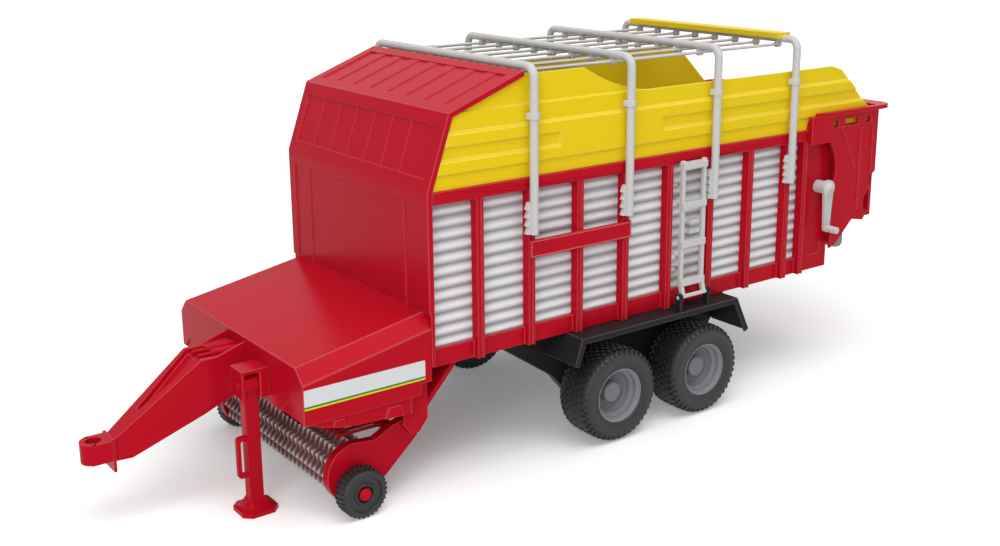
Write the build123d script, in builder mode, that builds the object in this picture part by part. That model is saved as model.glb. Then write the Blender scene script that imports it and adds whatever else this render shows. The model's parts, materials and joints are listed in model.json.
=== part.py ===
from build123d import *
import os
from math import cos, radians, sin, sqrt, tan

os.makedirs("parts", exist_ok=True)

# Toy loader wagon, millimetres. +X points to the drawbar eye, +Y is the wagon's left, Z = 0 is the floor.

# Body box
front_x = 105.5
body_len = 332.4
half_w = 80.0
rail_low_z = 73.7
rail_low_h = 10.5
side_h = 99.8
rail_top_h = 7.0
frame_t = 5.8
rail_step = 4.0
corner_gap = 0.2
rear_x = front_x - body_len
side_top_z = rail_low_z + side_h

# Posts and windows of the side frame
post_pitch = 35.9
post_count = 8
post_w = 4.8
post_offset = 2.7
groove_w = 1.8
groove_d = 0.8
rear_window_w = 12.5
recess_w = 13.0
recess_h = 8.0
recess_d = 1.0

# Corrugated side sheets
wave_count = 12
wave_depth = 1.5
sheet_t = 1.2
sheet_margin = 3.0
knuckle_out = 3.4

# Sign board
board_t = 1.8
board_h = 10.4
board_drop = 41.7

# Front wall facets: set back from the foot, and height
facet_mid_back = 14.5
facet_mid_rise = 41.1
facet_top_back = 63.8
facet_top_rise = 18.4
facet_mid_z = side_top_z + facet_mid_rise
facet_top_z = facet_mid_z + facet_top_rise
front_t = 2.4
border_h = 1.0
border_w = 7.0
rib_h = 0.6
rib_pitch = 19.7
rib_mid_w = 3.0
rib_mid_count = 6
rib_mid_shift = -3.3
rib_top_w = 8.2
rib_top_count = 7
bead_y = 54.5
bead_w = 1.4

# Yellow upper walls
lap_rise = 8.8
lap_pitch = 14.7
lap_count = 2
lap_flat = 6.2
lap_slope = 1.5
lap_out = 0.2
lap_in = 1.5
crest_rise = 41.0
crest_in = 2.3
upper_inner = 3.6
field_front_back = 90.0
field_rear_back = 169.4
hump_rise = 17.0
hump_back = 109.0
hump_foot_back = 157.0
upper_top_z = facet_mid_z - 0.1
hump_z = upper_top_z + hump_rise
upper_slope_over = 3.6
upper_tail_over = 34.6
upper_tail_rise = 8.3

# Roof bows and rods
bow_r = 2.5
bow_out = 3.0
bow_over = 4.0
bow_ahead = 0.8
bow_bend = 6.0
bow_foot_drop = 32.5
bow_y = half_w + bow_out
bow_z = hump_z + bow_over
bow_foot_z = side_top_z - bow_foot_drop
rod_r = 1.0
rod_count = 8
rod_spacing = 19.0
rod_drop = 4.0
rod_over = 1.7
lug_w = 3.0
lug_r = 2.1
fit_gap = 0.05
clip_drop = 26.9
clip_h = 3.6
clip_z = bow_z - clip_drop
latch_h = 19.0
latch_teeth_count = 4
cap_w = 11.0
cap_len = 144.0
cap_rise = 1.4

# Hood over the pick-up
hood_len = 79.0
hood_inset = 0.7
hood_half_w = half_w - hood_inset
hood_t = 2.2
hood_rear_z = 106.0
hood_front_z = 91.5
hood_cham = 8.0
hood_low_z = 61.5
hood_side_z = 51.8
hood_step_x = 13.0
gusset_t = 1.0

# Drawbar and eye
bar_root_z = 84.0
bar_root_low_z = 56.4
bar_root_x = 26.0
bar_tip_x = 76.0
bar_tip_z = 48.5
bar_tip_low_z = 36.0
bar_root_half = 12.6
bar_tip_half = 5.8
flange_t = 1.6
flange_half = 7.5
pocket_d = 3.4
pocket_len = 36.0
rail_w = 2.6
cylinder_r = 2.4
cylinder_y = 4.0
cylinder_len = 17.0
eye_x = 84.2
eye_r = 7.3
eye_bore_r = 4.2
eye_low_z = 37.0
eye_h = 11.6

# Parking leg
leg_x = 9.8
leg_y = 34.8
leg_w = 8.0
leg_d = 6.0
leg_pivot_z = 73.5
leg_pin_r = 2.0
foot_len = 21.0
foot_w = 20.4
foot_t = 2.6
foot_cham = 4.0
foot_rib_h = 6.0

# Running gear
axle_back = 130.4
axle_pitch = 72.3
tyre_r = 29.7
tyre_w = 26.4
wheel_over = 10.0
wheel_out_y = half_w + wheel_over
hub_depth = 8.0
rim_r = 17.7
axle_r = 2.5
run_gap = 0.08

# Fenders
fender_front_back = 99.0
fender_rear_back = 230.0
fender_drop = 0.4
fender_z = rail_low_z - fender_drop
fender_t = 2.2
lip_t = 1.6
lip_h = 3.8
fender_out_y = wheel_out_y

# Pick-up
reel_x = 45.0
reel_z = 22.5
disc_r = 17.0
disc_root_r = 14.2
disc_t = 1.7
disc_pitch = 5.0
teeth = 12
core_r = 11.4
lift_x = 9.0
lift_z = 42.0
gauge_r = 14.06
gauge_w = 11.8
gauge_over = 3.0
gauge_out_y = half_w + gauge_over
gauge_x = 45.8
arm_out = gauge_out_y - gauge_w - 1.0
disc_count = int((2 * arm_out - 8.0) / disc_pitch)

# Tailgate
gate_hinge_ahead = 22.2
gate_hinge_rise = 2.0
gate_t = 2.2
gate_depth = 41.2
gate_rise = 8.9
gate_gap = 0.4
gate_front = 30.2
pad_drop = 18.4
hinge_pin_r = 2.0
hinge_lug_r = 7.0
hinge_pad = 1.4
rim_w = 1.6
slot_h = 4.6
slot_drop = 6.9
gate_back_h = 77.2
gate_rib_w = 2.4
gate_rib_h = 1.0
gate_hinge_z = side_top_z + gate_hinge_rise
gate_top_z = side_top_z + gate_rise

# Crank
crank_ahead = 13.1
crank_drop = 40.7
crank_r = 5.6
crank_t = 2.4
crank_arm = 28.0
crank_arm_r = 2.6
crank_pin_r = 2.5
crank_border = 1.0
crank_sunk = 0.9
crank_cone_h = 2.4
handle_len = 10.8
handle_ring_count = 4

# Load floor and scraper
deck_rise = 5.9
deck_z = rail_low_z + deck_rise
deck_t = 3.6
deck_back = body_len + 1.2
bar_pitch = 24.0
bar_w = 3.0
bar_h = 2.0
chain_y = 38.0
chain_w = 5.0

# Chassis under the floor
beam_y = 27.0
beam_w = 8.0
beam_low_z = 60.0
beam_start_back = 32.0
beam_end_back = body_len - 6.4
cross_pitch = 60.0
bogie_t = 6.0
wheel_gap = 5.6
bogie_y = wheel_out_y - tyre_w - wheel_gap - bogie_t
bogie_low_z = 23.0

# Intake behind the pick-up
cheek_t = 2.6
cheek_y = half_w - frame_t - cheek_t - 0.2
pivot_r = 2.4

# Ladder
ladder_front_back = 184.0
ladder_w = 20.5
ladder_rail = 2.6
ladder_over = 6.0
ladder_y = half_w + ladder_over
ladder_foot_z = 82.0
ladder_len = 86.5
ladder_top_z = ladder_foot_z + ladder_len
ladder_bend_h = 9.0
ladder_bend = 2.6
rung_low = 8.5
rung_count = 4
rung_pitch = 24.9
rung_h = 4.2


def back(distance):
    """Row X of a point this far behind the front wall's foot."""
    return front_x - distance


def shifted(points, gap):
    """Corners of an open line moved sideways to its left by gap, with mitred corners."""
    lines = []
    for (ax, az), (bx, bz) in zip(points, points[1:]):
        run = sqrt((bx - ax) ** 2 + (bz - az) ** 2)
        nx, nz = -(bz - az) / run * gap, (bx - ax) / run * gap
        lines.append(((ax + nx, az + nz), (bx + nx, bz + nz)))
    moved = [lines[0][0]]
    for ((ax, az), (bx, bz)), ((cx, cz), (dx, dz)) in zip(lines, lines[1:]):
        ux, uz, vx, vz = bx - ax, bz - az, dx - cx, dz - cz
        k = ((cx - ax) * vz - (cz - az) * vx) / (ux * vz - uz * vx)
        moved.append((ax + ux * k, az + uz * k))
    return moved + [lines[-1][1]]


def save(builder, name):
    """Label a finished piece and write its STEP file."""
    builder.part.label = name
    export_step(builder.part, f"parts/{name}.step")


left_face = Plane.XZ.offset(-half_w)
post_x = [back(post_pitch * k - post_offset) for k in range(1, post_count + 1)]
window_top_z = side_top_z - rail_top_h
window_low_z = rail_low_z + rail_low_h
rear_post_x = post_x[-1] - post_w - rear_window_w

# Front wall: three flat facets with raised borders, narrow ribs on the middle one and broad ones on top
deck_low_z = deck_z - deck_t
front_line = [
    (front_x, deck_low_z),
    (front_x, side_top_z),
    (back(facet_mid_back), facet_mid_z),
    (back(facet_top_back), facet_top_z),
]
front_inner = shifted(front_line, front_t)
border_line = [(front_x, hood_rear_z), *front_line[1:]]


def along(start, end, distance):
    """Point on the line from start to end, this far from start."""
    run = sqrt((end[0] - start[0]) ** 2 + (end[1] - start[1]) ** 2)
    return (
        start[0] + (end[0] - start[0]) * distance / run,
        start[1] + (end[1] - start[1]) * distance / run,
    )


def raised(line, height):
    """Section of a strip that stands this high on a line of the front wall."""
    Polygon(*line, *reversed(shifted(line, -height)), align=None)


fold_bands = [
    [along(line[1], line[0], border_w), *line[1:-1], along(line[-2], line[-1], border_w)]
    for line in (front_line[:3], front_line[1:])
]
top_band = [along(front_line[3], front_line[2], border_w), front_line[3]]
with BuildPart() as front_wall:
    with BuildSketch(Plane.XZ.offset(half_w)):
        Polygon(*front_line, *reversed(front_inner), align=None)
    extrude(amount=-2 * half_w)
    with BuildSketch(*[Plane.XZ.offset(-y) for y in (half_w, border_w - half_w)]):
        raised(border_line, border_h)
    extrude(amount=border_w)
    for band in (*fold_bands, top_band):
        with BuildSketch(Plane.XZ.offset(-half_w)):
            raised(band, border_h)
        extrude(amount=2 * half_w)
    for line, count, width, shift in (
        (front_line[1:3], rib_mid_count, rib_mid_w, rib_mid_shift),
        (front_line[2:4], rib_top_count, rib_top_w, 0),
    ):
        middles = [shift + rib_pitch * (rib - (count - 1) / 2) for rib in range(count)]
        with BuildSketch(*[Plane.XZ.offset(-y - width / 2) for y in middles]):
            raised(line, rib_h)
        extrude(amount=width)
    with BuildSketch(*[Plane.XZ.offset(-y - bead_w / 2) for y in (bead_y, -bead_y)]):
        raised([border_line[0], border_line[1]], rib_h)
    extrude(amount=bead_w)
save(front_wall, "front_wall")

rail_len = body_len - front_t - corner_gap
rail_mid_x = (rear_x + back(front_t + corner_gap)) / 2
hinge_x = rear_x + gate_hinge_ahead
crank_x = rear_x + crank_ahead
crank_z = side_top_z - crank_drop

# Side frame: deep posts and top rail round the windows; the low rail and the rear plate lie further in
with BuildPart() as side_frame_left:
    with BuildSketch(left_face.offset(rail_step)):
        with Locations((rail_mid_x, rail_low_z + rail_low_h / 2)):
            Rectangle(rail_len, rail_low_h)
        with Locations(((rear_post_x + rear_x) / 2, rail_low_z + side_h / 2)):
            Rectangle(rear_post_x - rear_x, side_h)
    extrude(amount=frame_t - rail_step)
    with BuildSketch(left_face):
        with Locations((rail_mid_x, side_top_z - rail_top_h / 2)):
            Rectangle(rail_len, rail_top_h)
        with Locations(*[(x, rail_low_z + side_h / 2) for x in post_x + [rear_post_x]]):
            Rectangle(post_w, side_h)
        with Locations((hinge_x, gate_hinge_z - hinge_lug_r / 2)):
            Rectangle(2 * hinge_lug_r, hinge_lug_r)
        with Locations((hinge_x, gate_hinge_z)):
            Circle(hinge_lug_r)
    extrude(amount=frame_t)
    with BuildSketch(left_face):
        with Locations(*[(x, rail_low_z + (side_h - rail_top_h) / 2) for x in post_x + [rear_post_x]]):
            Rectangle(groove_w, side_h - rail_top_h)
    extrude(amount=groove_d, mode=Mode.SUBTRACT)
    with BuildSketch(left_face.offset(rail_step)):
        with Locations((crank_x, window_low_z + recess_h / 2)):
            Rectangle(recess_w, recess_h)
    extrude(amount=recess_d, mode=Mode.SUBTRACT)
    with Locations(Plane(origin=(crank_x, half_w, crank_z), z_dir=(0, 1, 0))):
        Hole(crank_pin_r + run_gap)
    with BuildSketch(left_face.offset(frame_t)):
        with Locations((hinge_x, gate_hinge_z)):
            Circle(hinge_pin_r)
    extrude(amount=-(frame_t + gate_gap + gate_t + hinge_pad + 0.4))
save(side_frame_left, "side_frame_left")

with BuildPart() as side_frame_right:
    mirror(side_frame_left.part, about=Plane.XZ)
save(side_frame_right, "side_frame_right")

# Corrugated sheets behind the windows: arcs that bulge out and in by turns
sheet_out = half_w - frame_t
wave_pitch = (window_top_z - window_low_z) / wave_count
door_front_x = post_x[4] - post_w / 2
door_rear_x = post_x[5] + post_w / 2
sheet_low_z = window_low_z - sheet_margin
sheet_high_z = window_top_z + sheet_margin
sheet_mid = sheet_out - wave_depth / 2


def wave_profile():
    """Closed section of the corrugated sheet, drawn in the plane of Y and Z."""
    for side, flip in ((sheet_mid, 1), (sheet_mid - sheet_t, -1)):
        for wave in range(wave_count):
            low = window_low_z + wave * wave_pitch
            quarter = wave_pitch / 4
            for part, bulge in ((0, 1), (2, -1)):
                ThreePointArc(
                    (side, low + part * quarter),
                    (side + bulge * wave_depth / 2, low + (part + 1) * quarter),
                    (side, low + (part + 2) * quarter),
                )
    Polyline(
        (sheet_mid, window_top_z), (sheet_mid, sheet_high_z),
        (sheet_mid - sheet_t, sheet_high_z), (sheet_mid - sheet_t, window_top_z),
    )
    Polyline(
        (sheet_mid, window_low_z), (sheet_mid, sheet_low_z),
        (sheet_mid - sheet_t, sheet_low_z), (sheet_mid - sheet_t, window_low_z),
    )


with BuildSketch(Plane.YZ) as wave_section:
    with BuildLine():
        wave_profile()
    make_face()

sheets_end_x = rear_post_x + post_w / 2 - sheet_margin
with BuildPart() as side_sheets_left:
    for start, end in ((back(front_t), door_front_x + fit_gap), (door_rear_x - fit_gap, sheets_end_x)):
        with BuildSketch(Plane.YZ.offset(end)):
            add(wave_section.sketch_local)
        extrude(amount=start - end)
save(side_sheets_left, "side_sheets_left")

with BuildPart() as side_sheets_right:
    with BuildSketch(Plane.YZ.offset(sheets_end_x)):
        mirror(wave_section.sketch_local, about=Plane.YZ)
    extrude(amount=back(front_t) - sheets_end_x)
save(side_sheets_right, "side_sheets_right")

# Door leaf behind the ladder, with its hinge knuckles and handle
with BuildPart() as side_door:
    with BuildSketch(Plane.YZ.offset(door_rear_x + fit_gap)):
        add(wave_section.sketch_local)
    extrude(amount=door_front_x - door_rear_x - 2 * fit_gap)
    with BuildSketch(left_face.offset(frame_t + wave_depth)):
        with Locations(*[(door_front_x - 3.4, window_low_z + rise) for rise in (12.0, 21.5, 57.0, 66.5)]):
            Rectangle(4.5, 5.0)
        with Locations((door_rear_x + 9.0, window_low_z + 39.0)):
            Rectangle(8.0, 9.0)
    extrude(amount=-(wave_depth + knuckle_out))
save(side_door, "side_door")

# Yellow upper wall: lapped boards, cut to the side outline
lap_profile = [(half_w - lap_in, side_top_z)]
for lap in range(lap_count):
    low = side_top_z + lap_rise + lap * lap_pitch
    lap_profile += [
        (half_w - lap_in, low), (half_w - lap_out, low), (half_w - lap_out, low + lap_flat),
        (half_w - lap_in, low + lap_flat + lap_slope),
    ]
crest_z = side_top_z + crest_rise
lap_profile += [
    (half_w - lap_in, crest_z), (half_w - crest_in, crest_z + 1.0), (half_w - crest_in, hump_z),
    (half_w - upper_inner, hump_z), (half_w - upper_inner, side_top_z),
]
field_low_z = side_top_z + lap_rise + lap_flat
field_high_z = side_top_z + lap_rise + lap_pitch

fold_x = front_inner[1][0] + (side_top_z - front_inner[1][1]) * (
    (front_inner[2][0] - front_inner[1][0]) / (front_inner[2][1] - front_inner[1][1])
)
tail_x = rear_x - upper_tail_over
slope_x = rear_x - upper_slope_over
with BuildPart() as upper_wall_left:
    with BuildSketch(Plane.YZ.offset(tail_x)):
        Polygon(*lap_profile, align=None)
    extrude(amount=front_x - tail_x)
    with BuildSketch(left_face.offset(lap_out)):
        with Locations((back((field_front_back + field_rear_back) / 2), (field_low_z + field_high_z) / 2)):
            Rectangle(field_rear_back - field_front_back, field_high_z - field_low_z)
    extrude(amount=lap_in - lap_out)
    with BuildSketch(left_face):
        with BuildLine():
            Polyline(
                (tail_x, side_top_z), (fold_x, side_top_z), front_inner[2],
                front_inner[3], (front_inner[3][0], hump_z), (back(hump_back), hump_z),
            )
            ThreePointArc(
                (back(hump_back), hump_z),
                (back(0.47 * hump_back + 0.53 * hump_foot_back), upper_top_z + 0.30 * (hump_z - upper_top_z)),
                (back(hump_foot_back), upper_top_z),
            )
            Polyline(
                (back(hump_foot_back), upper_top_z), (slope_x + 10.0, upper_top_z),
                (slope_x, upper_top_z - 3.0), (tail_x, side_top_z + upper_tail_rise), (tail_x, side_top_z),
            )
        make_face()
    extrude(amount=half_w, mode=Mode.INTERSECT)
    with BuildSketch(left_face):
        with Locations((hinge_x, gate_hinge_z - hinge_lug_r / 2)):
            Rectangle(2 * (hinge_lug_r + corner_gap), hinge_lug_r)
        with Locations((hinge_x, gate_hinge_z)):
            Circle(hinge_lug_r + corner_gap)
    extrude(amount=half_w, mode=Mode.SUBTRACT)
save(upper_wall_left, "upper_wall_left")

with BuildPart() as upper_wall_right:
    mirror(upper_wall_left.part, about=Plane.XZ)
save(upper_wall_right, "upper_wall_right")

# Roof bows: bent tubes with lugs for the rods, a collar at the yellow wall and a toothed latch below it
bow_x = [x + bow_ahead for x in post_x[1::2]]
rod_z = bow_z - rod_drop
rod_y = [rod_spacing * (rod - (rod_count - 1) / 2) for rod in range(rod_count)]
wall_out = half_w - lap_out
tooth_h = latch_h / latch_teeth_count

for number, x in enumerate(bow_x, start=1):
    with BuildPart() as roof_bow:
        with BuildLine(Plane.YZ.offset(x)):
            FilletPolyline(
                (bow_y, bow_foot_z), (bow_y, bow_z), (-bow_y, bow_z), (-bow_y, bow_foot_z), radius=bow_bend
            )
        with BuildSketch(Plane.XY.offset(bow_foot_z)):
            with Locations((x, bow_y)):
                Circle(bow_r)
        sweep()
        with Locations(*[Plane(origin=(x, y, rod_z), z_dir=(1, 0, 0)) for y in rod_y]):
            Cylinder(lug_r, lug_w)
        with Locations(*[Plane(origin=(x, y, rod_z), z_dir=(1, 0, 0)) for y in rod_y]):
            Hole(rod_r + fit_gap)
        for side in (1, -1):
            with Locations((x, side * bow_y, clip_z)):
                Cylinder(bow_y - wall_out, clip_h)
            with Locations((x + 1.0, side * (bow_y + wall_out) / 2, clip_z)):
                Box(5.0, bow_y - wall_out, clip_h)
            with BuildSketch(Plane.XZ.offset(-side * (bow_y + half_w) / 2)):
                with BuildLine():
                    points = [(x, bow_foot_z)]
                    for tooth in range(latch_teeth_count):
                        low = bow_foot_z + tooth * tooth_h
                        points += [(x + bow_r + 2.6, low + 0.4), (x + bow_r + 0.8, low + tooth_h - 0.4)]
                    Polyline(*points, (x, bow_foot_z + latch_h), (x, bow_foot_z))
                make_face()
            extrude(amount=(bow_y - half_w) / 2, both=True)
    save(roof_bow, f"roof_bow_{number}")

with BuildPart() as roof_rods:
    with BuildSketch(Plane.YZ.offset(bow_x[-1] - rod_over)):
        with Locations(*[(y, rod_z) for y in rod_y]):
            Circle(rod_r)
    extrude(amount=bow_x[0] - bow_x[-1] + 2 * rod_over)
save(roof_rods, "roof_rods")

# Cap strip clipped over the rearmost bow
with BuildPart() as roof_cap:
    with BuildSketch(Plane.XZ.offset(-cap_len / 2)):
        with Locations((bow_x[-1], bow_z + (bow_r + cap_rise) / 2)):
            Rectangle(cap_w, bow_r + cap_rise)
        with Locations((bow_x[-1], bow_z)):
            Circle(bow_r + fit_gap, mode=Mode.SUBTRACT)
    extrude(amount=cap_len)
save(roof_cap, "roof_cap")

# Load floor with the scraper's bars and two chains lying on it
deck_half = half_w - frame_t
with BuildPart() as load_floor:
    with Locations((back((front_t + deck_back) / 2), 0, deck_z - deck_t / 2)):
        Box(deck_back - front_t, 2 * deck_half, deck_t)
save(load_floor, "load_floor")

bar_count = int((deck_back - 3 * bar_pitch / 2) / bar_pitch) + 1
with BuildPart() as scraper:
    for y in (-chain_y, chain_y):
        with Locations((back(deck_back / 2), y, deck_z + bar_h / 4)):
            Box(deck_back - bar_pitch, chain_w, bar_h / 2)
    with Locations(*[(back(bar_pitch * (bar + 0.75)), 0, deck_z + bar_h / 2) for bar in range(bar_count)]):
        Box(bar_w, 2 * deck_half - 12.0, bar_h)
save(scraper, "scraper")

# Chassis: two beams with cross-members, and a plate on each side that carries the axles
axle_z = tyre_r
axle_x = [back(axle_back), back(axle_back + axle_pitch)]
with BuildPart() as chassis:
    for side in (1, -1):
        with Locations((back((beam_end_back + beam_start_back) / 2), side * beam_y, (deck_low_z + beam_low_z) / 2)):
            Box(beam_end_back - beam_start_back, beam_w, deck_low_z - beam_low_z)
    cross_count = int((beam_end_back - beam_start_back) / cross_pitch) + 1
    with Locations(*[
        (back(beam_start_back + 6.0 + cross_pitch * k), 0, (deck_low_z + beam_low_z) / 2) for k in range(cross_count)
    ]):
        Box(6.0, 2 * beam_y, deck_low_z - beam_low_z - 4.0)
save(chassis, "chassis")

with BuildPart() as bogie_left:
    with BuildSketch(Plane.XZ.offset(-bogie_y - bogie_t)):
        with BuildLine():
            Polyline(
                (back(50.0), deck_low_z), (back(50.0), 70.0), (back(65.0), 64.8), (back(102.0), 39.5),
                (back(116.0), bogie_low_z), (back(217.0), bogie_low_z), (back(232.0), 39.5),
                (back(250.0), 64.8), (back(255.0), deck_low_z), (back(50.0), deck_low_z),
            )
        make_face()
        with Locations(*[(x, axle_z) for x in axle_x]):
            Circle(axle_r + fit_gap, mode=Mode.SUBTRACT)
    extrude(amount=bogie_t)
save(bogie_left, "bogie_left")

with BuildPart() as bogie_right:
    mirror(bogie_left.part, about=Plane.XZ)
save(bogie_right, "bogie_right")

axle_half = wheel_out_y - hub_depth - 2.4
for name, x in zip(("front", "rear"), axle_x):
    with BuildPart() as axle:
        with Locations(Location((x, 0, axle_z), (90, 0, 0))):
            Cylinder(axle_r, 2 * axle_half)
    save(axle, f"axle_{name}")

# Fender over both wheels of a side, with sloping ends
fender_line = [
    (back(fender_front_back - 5.5), 57.0), (back(fender_front_back), fender_z),
    (back(fender_rear_back), fender_z), (back(fender_rear_back + 11.5), 49.8),
]
with BuildPart() as fender_left:
    with BuildSketch(Plane.XZ.offset(-fender_out_y)):
        Polygon(*fender_line, *reversed(shifted(fender_line, fender_t)), align=None)
    extrude(amount=fender_out_y - bogie_y - bogie_t)
    with BuildSketch(Plane.XZ.offset(-fender_out_y)):
        Polygon(*fender_line, *reversed(shifted(fender_line, lip_h)), align=None)
    extrude(amount=lip_t)
save(fender_left, "fender_left")

with BuildPart() as fender_right:
    mirror(fender_left.part, about=Plane.XZ)
save(fender_right, "fender_right")

# Wheels: tyre and deep-dished rim, drawn as radius and depth behind the outer face
tyre_profile = [
    (rim_r - 0.5, 1.8), (rim_r + 1.8, 0.6), (tyre_r - 6.0, 0.0), (tyre_r - 3.2, 0.7), (tyre_r - 1.2, 2.6),
    (tyre_r, 5.6), (tyre_r, tyre_w - 5.6), (tyre_r - 1.2, tyre_w - 2.6), (tyre_r - 3.2, tyre_w - 0.7),
    (tyre_r - 6.0, tyre_w), (rim_r + 1.8, tyre_w - 0.6), (rim_r - 0.5, tyre_w - 1.8),
]
seat_r = rim_r - 0.5 - fit_gap
bore_r = axle_r + run_gap
rim_profile = [
    (0, hub_depth), (5.8, hub_depth), (6.6, hub_depth + 0.8), (6.8, 13.2), (rim_r - 6.5, 13.2),
    (rim_r - 5.1, 11.2), (rim_r - 4.3, 7.2), (rim_r - 2.9, 6.6), (rim_r - 2.4, 3.4), (rim_r - 1.5, 2.6),
    (rim_r - 1.1, 1.4), (seat_r, 1.4), (seat_r, tyre_w - 1.4), (rim_r - 2.3, tyre_w - 1.4),
    (rim_r - 2.7, 16.5), (6.0, 16.5), (6.0, tyre_w - 2.0), (bore_r, tyre_w - 2.0), (bore_r, hub_depth + 2.0),
    (0, hub_depth + 2.0),
]
for place, x in zip(("front", "rear"), axle_x):
    section = Plane(origin=(x, wheel_out_y, axle_z), x_dir=(0, 0, 1), z_dir=(1, 0, 0))
    turn = Axis((x, 0, axle_z), (0, 1, 0))
    for piece, profile in (("tyre", tyre_profile), ("rim", rim_profile)):
        with BuildPart() as wheel_left:
            with BuildSketch(section):
                Polygon(*profile, align=None)
            revolve(axis=turn)
        save(wheel_left, f"{piece}_{place}_left")
        with BuildPart() as wheel_right:
            mirror(wheel_left.part, about=Plane.XZ)
        save(wheel_right, f"{piece}_{place}_right")

# Hood over the pick-up: sloping top with chamfered sides, open below and behind
def hood_section(half, top, low, cham):
    """Corners of the hood's cross-section in the plane of Y and Z."""
    return [(-half, low), (half, low), (half, top - cham), (half - cham, top), (cham - half, top), (-half, top - cham)]


hood_slope = (hood_rear_z - hood_front_z) / hood_len
hood_x = front_x + hood_len
inner_cham = hood_cham - hood_t * tan(radians(22.5))
with BuildPart() as hood:
    with BuildSketch(Plane.YZ.offset(front_x)):
        Polygon(*hood_section(hood_half_w, hood_rear_z, hood_side_z, hood_cham), align=None)
    with BuildSketch(Plane.YZ.offset(hood_x)):
        Polygon(*hood_section(hood_half_w, hood_front_z, hood_side_z, hood_cham), align=None)
    loft()
    with BuildSketch(Plane.YZ.offset(front_x)):
        Polygon(*hood_section(hood_half_w - hood_t, hood_rear_z - hood_t, hood_side_z, inner_cham), align=None)
    with BuildSketch(Plane.YZ.offset(hood_x - hood_t)):
        Polygon(
            *hood_section(
                hood_half_w - hood_t, hood_front_z - hood_t + hood_slope * hood_t, hood_side_z, inner_cham
            ),
            align=None,
        )
    loft(mode=Mode.SUBTRACT)
    with BuildSketch(Plane.XZ.offset(-half_w)):
        Polygon(
            (front_x, hood_side_z - 1), (front_x, 67.6), (front_x + 6.7, 67.6), (front_x + 6.7, 61.0),
            (front_x + hood_step_x, 61.0), (front_x + hood_step_x, hood_side_z), (front_x + 48.0, 53.6),
            (front_x + 66.0, 57.0), (hood_x, hood_low_z), (hood_x, hood_side_z - 1), align=None,
        )
    extrude(amount=2 * half_w, mode=Mode.SUBTRACT)
save(hood, "hood")

# Drawbar: tapering box beam from the hood's front, with a sunk top, gussets, end flange and eye
root_x = hood_x + bar_root_x
tip_x = hood_x + bar_tip_x - 1.0
pocket_x = root_x + pocket_len
pocket_drop = pocket_len * (bar_root_z - bar_tip_z) / (tip_x - root_x)
top_line = [(hood_x, bar_root_z), (root_x, bar_root_z), (pocket_x, bar_root_z - pocket_drop)]
with BuildPart() as pocket:
    with BuildSketch(Plane.XZ.offset(bar_root_half)):
        Polygon(*reversed(shifted(top_line, 1.0)), *shifted(top_line, -pocket_d), align=None)
    extrude(amount=-2 * bar_root_half)
    with BuildSketch(Plane.XY.offset(bar_tip_low_z)):
        Polygon(
            (hood_x, rail_w - bar_root_half), (root_x, rail_w - bar_root_half), (pocket_x - 3.0, -1.0),
            (pocket_x - 3.0, 1.0), (root_x, bar_root_half - rail_w), (hood_x, bar_root_half - rail_w), align=None,
        )
    extrude(amount=2 * bar_root_z, mode=Mode.INTERSECT)

with BuildPart() as drawbar:
    with BuildSketch(Plane.XY.offset(bar_tip_low_z)):
        Polygon(
            (hood_x, -bar_root_half), (root_x, -bar_root_half), (tip_x, -bar_tip_half),
            (tip_x, bar_tip_half), (root_x, bar_root_half), (hood_x, bar_root_half), align=None,
        )
    extrude(amount=bar_root_z - bar_tip_low_z)
    with BuildSketch(Plane.XZ.offset(half_w)):
        Polygon(
            (hood_x, bar_root_z), (root_x, bar_root_z), (tip_x, bar_tip_z), (tip_x, bar_tip_low_z),
            (tip_x - 9.0, bar_tip_low_z), (hood_x + 17.0, bar_root_low_z), (hood_x, 62.0), align=None,
        )
    extrude(amount=-2 * half_w, mode=Mode.INTERSECT)
    add(pocket.part, mode=Mode.SUBTRACT)
    for side in (1, -1):
        with BuildSketch(Plane.XZ.offset(side * bar_root_half)):
            Polygon(
                (hood_x, bar_root_z - 1.0), (hood_x, hood_front_z - 2.0), (hood_x + bar_root_x - 9.0, bar_root_z),
                (hood_x + bar_root_x - 9.0, bar_root_z - 1.0), align=None,
            )
        extrude(amount=-side * gusset_t)
    eye_centre_x = hood_x + eye_x
    with BuildSketch(Plane.XY.offset(eye_low_z)):
        with Locations((eye_centre_x, 0)):
            Circle(eye_r)
        with Locations(((eye_centre_x + tip_x) / 2, 0)):
            Rectangle(eye_centre_x - tip_x, 2 * eye_r)
        with Locations((eye_centre_x, 0)):
            Circle(eye_bore_r, mode=Mode.SUBTRACT)
    extrude(amount=eye_h)
    with Locations((tip_x + flange_t / 2, 0, (bar_tip_z + bar_tip_low_z) / 2 - 2.2)):
        Box(flange_t, 2 * flange_half, bar_tip_z - bar_tip_low_z + 6.5)
save(drawbar, "drawbar")

# Lift cylinders that lie in the drawbar's sunk top, from the hood to its break
cylinder_z = bar_root_z - pocket_d + cylinder_r + 0.3
with BuildPart() as drawbar_cylinders:
    for y in (-cylinder_y, cylinder_y):
        for start, end, radius in ((0, cylinder_len, cylinder_r), (cylinder_len, bar_root_x - 1.4, cylinder_r / 2)):
            with BuildSketch(Plane(origin=(hood_x + start, y, cylinder_z), z_dir=(1, 0, 0))):
                Circle(radius)
            extrude(amount=end - start)
save(drawbar_cylinders, "drawbar_cylinders")

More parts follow.
